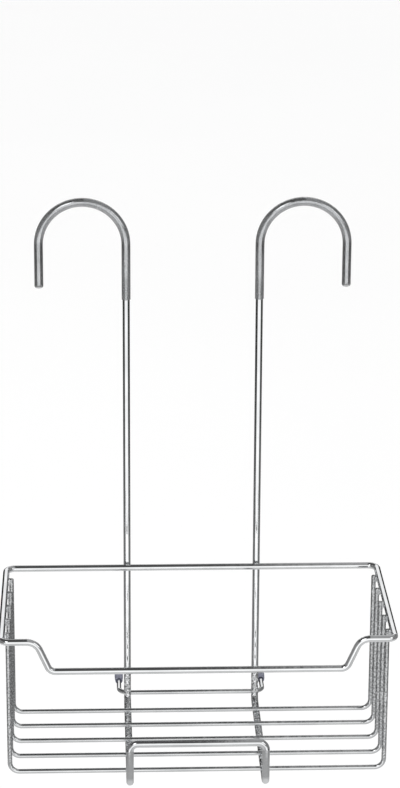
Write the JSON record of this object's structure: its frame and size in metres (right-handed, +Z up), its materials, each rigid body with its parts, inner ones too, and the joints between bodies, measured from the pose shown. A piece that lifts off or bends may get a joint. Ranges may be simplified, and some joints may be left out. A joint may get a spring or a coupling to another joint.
{
  "type": "shower caddy",
  "caption": "Chrome wire shower caddy with a shallow bent-wire basket below tall sleeved hooks that hang over a wall mixer's inlets, with a capped wall spacer.",
  "frame": {"origin": "midway between the hooks, in the plane of the uprights, at the level of the underside of the hook tops", "axes": "+X to the user's right, +Y towards the wall, +Z up; the basket's open front faces -Y"},
  "size_m": [0.25, 0.1619, 0.3526],
  "materials": {
    "chrome_frame": "bright chrome plate on 4.7 mm wire",
    "chrome_rim": "bright chrome plate on 4.2 mm wire",
    "chrome_thin": "bright chrome plate on 3 mm wire",
    "sleeve_vinyl": "thin translucent grey vinyl sleeve",
    "cap_vinyl": "soft translucent blue-grey vinyl"
  },
  "bodies": {
    "root": {"hanger_frame": "chrome_frame", "hook_sleeve_left": "sleeve_vinyl", "hook_sleeve_right": "sleeve_vinyl", "basket_rim": "chrome_rim", "basket_wire_1": "chrome_thin", "basket_wire_2": "chrome_thin", "basket_wire_3": "chrome_thin", "basket_wire_4": "chrome_thin", "basket_wire_5": "chrome_thin", "wall_spacer": "chrome_thin", "bumper_cap_left": "cap_vinyl", "bumper_cap_right": "cap_vinyl"}
  },
  "joints": []
}
